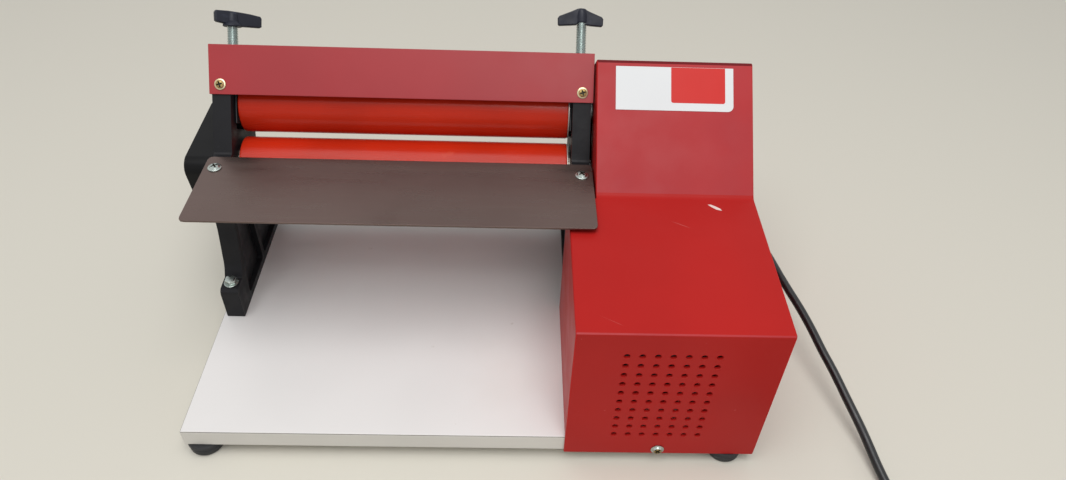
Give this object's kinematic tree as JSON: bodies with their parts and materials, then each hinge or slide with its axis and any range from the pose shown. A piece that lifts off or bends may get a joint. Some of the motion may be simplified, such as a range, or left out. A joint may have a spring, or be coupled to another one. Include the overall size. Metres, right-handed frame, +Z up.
{
  "type": "dough roller machine",
  "caption": "Bench dough roller: driven roller pair in cast frames on a board, feed tray, guard, wing-knob gap screws and a sheet motor housing with mains cord.",
  "frame": {"origin": "on the surface it stands on, under the middle of the machine without its cord", "axes": "+X to the motor side along the rollers, +Y away from the operator, +Z up"},
  "size_m": [0.6395, 0.5477, 0.2724],
  "materials": {
    "white_laminate": "satin white melamine on chipboard",
    "black_rubber": "matt black",
    "black_casting": "black paint on a rough casting",
    "black_plastic": "matt black",
    "knob_plastic": "dark blue-black",
    "red_paint": "satin red",
    "roller_red": "glossy orange-red coating",
    "tray_steel": "dull rolled sheet",
    "zinc": "zinc plated",
    "steel": "turned",
    "bronze": "turned bronze",
    "motor_grey": "grey paint"
  },
  "bodies": {
    "stand": {"base_board": "white_laminate", "foot_front_left": "black_rubber", "foot_front_right": "black_rubber", "foot_back_left": "black_rubber", "foot_back_right": "black_rubber", "drive_belt": "black_rubber", "cord_gland": "black_rubber", "cord_run": "black_rubber", "cord_coil": "black_rubber", "cord_tail": "black_rubber", "side_frame_left": "black_casting", "side_frame_right": "black_casting", "head_cap_left": "black_casting", "head_cap_right": "black_casting", "countershaft_bracket": "black_casting", "motor_saddle": "black_casting", "left_end_cover": "black_plastic", "switch_bezel": "black_plastic", "start_capacitor": "black_plastic", "cord_tie": "black_plastic", "cord_plug": "black_plastic", "roller_guard": "red_paint", "motor_housing": "red_paint", "feed_tray": "tray_steel", "leg_bolt_left": "zinc", "leg_bolt_right": "zinc", "tray_screw_left": "zinc", "tray_screw_right": "zinc", "guard_screw_left": "zinc", "guard_screw_right": "zinc", "housing_screw": "zinc", "tie_bar": "steel", "lower_bush_left": "bronze", "lower_bush_right": "bronze", "motor_body": "motor_grey", "motor_bell_left": "motor_grey", "motor_bell_right": "motor_grey"},
    "lower_roller": {"lower_roller": "roller_red", "lower_shaft": "steel", "shaft_collar": "steel", "roller_gear_lower": "steel", "bull_gear": "steel"},
    "upper_carriage": {"bearing_block_left": "steel", "bearing_block_right": "steel"},
    "upper_roller": {"upper_roller": "roller_red", "upper_shaft": "steel", "roller_gear_upper": "steel"},
    "left_screw": {"adjusting_screw_left": "zinc", "wing_knob_left": "knob_plastic"},
    "right_screw": {"adjusting_screw_right": "zinc", "wing_knob_right": "knob_plastic"},
    "countershaft": {"countershaft": "steel", "countershaft_pinion": "steel", "countershaft_pulley": "steel"},
    "motor_rotor": {"motor_shaft": "steel", "motor_pulley": "steel"},
    "switch_rocker": {"switch_rocker": "black_plastic"}
  },
  "joints": [
    {"name": "lower_roller_spin", "type": "hinge", "parent": "stand", "child": "lower_roller", "pos_m": [-0.06584, 0.06343, 0.14482], "axis": [1, 0, 0], "continuous": true},
    {"name": "gap_adjust", "type": "slide", "parent": "stand", "child": "upper_carriage", "axis": [0, 0.5707, 0.8211], "range_m": [-0.004, 0.0035]},
    {"name": "upper_roller_spin", "type": "hinge", "parent": "upper_carriage", "child": "upper_roller", "pos_m": [-0.06584, 0.09453, 0.18957], "axis": [1, 0, 0], "continuous": true},
    {"name": "left_screw_turn", "type": "hinge", "parent": "upper_carriage", "child": "left_screw", "pos_m": [-0.22329, 0.10503, 0.20468], "axis": [0, 0.5707, 0.8211], "range_deg": [-962, 842]},
    {"name": "right_screw_turn", "type": "hinge", "parent": "upper_carriage", "child": "right_screw", "pos_m": [0.09901, 0.10503, 0.20468], "axis": [0, 0.5707, 0.8211], "range_deg": [-962, 842]},
    {"name": "countershaft_spin", "type": "hinge", "parent": "stand", "child": "countershaft", "pos_m": [0.19416, 0.07659, 0.08782], "axis": [1, 0, 0], "continuous": true},
    {"name": "motor_spin", "type": "hinge", "parent": "stand", "child": "motor_rotor", "pos_m": [0.15016, -0.08235, 0.096], "axis": [1, 0, 0], "continuous": true},
    {"name": "switch_rock", "type": "hinge", "parent": "stand", "child": "switch_rocker", "pos_m": [0.24726, -0.09935, 0.122], "axis": [0, 1, 0], "range_deg": [0, 20]}
  ],
  "couplings": [
    {"joint": "upper_roller_spin", "follows": "lower_roller_spin", "ratio": -1},
    {"joint": "countershaft_spin", "follows": "lower_roller_spin", "ratio": -4.5714},
    {"joint": "motor_spin", "follows": "lower_roller_spin", "ratio": -13.714},
    {"joint": "left_screw_turn", "follows": "gap_adjust", "rad_per_m": 4188.8},
    {"joint": "right_screw_turn", "follows": "gap_adjust", "rad_per_m": 4188.8}
  ]
}
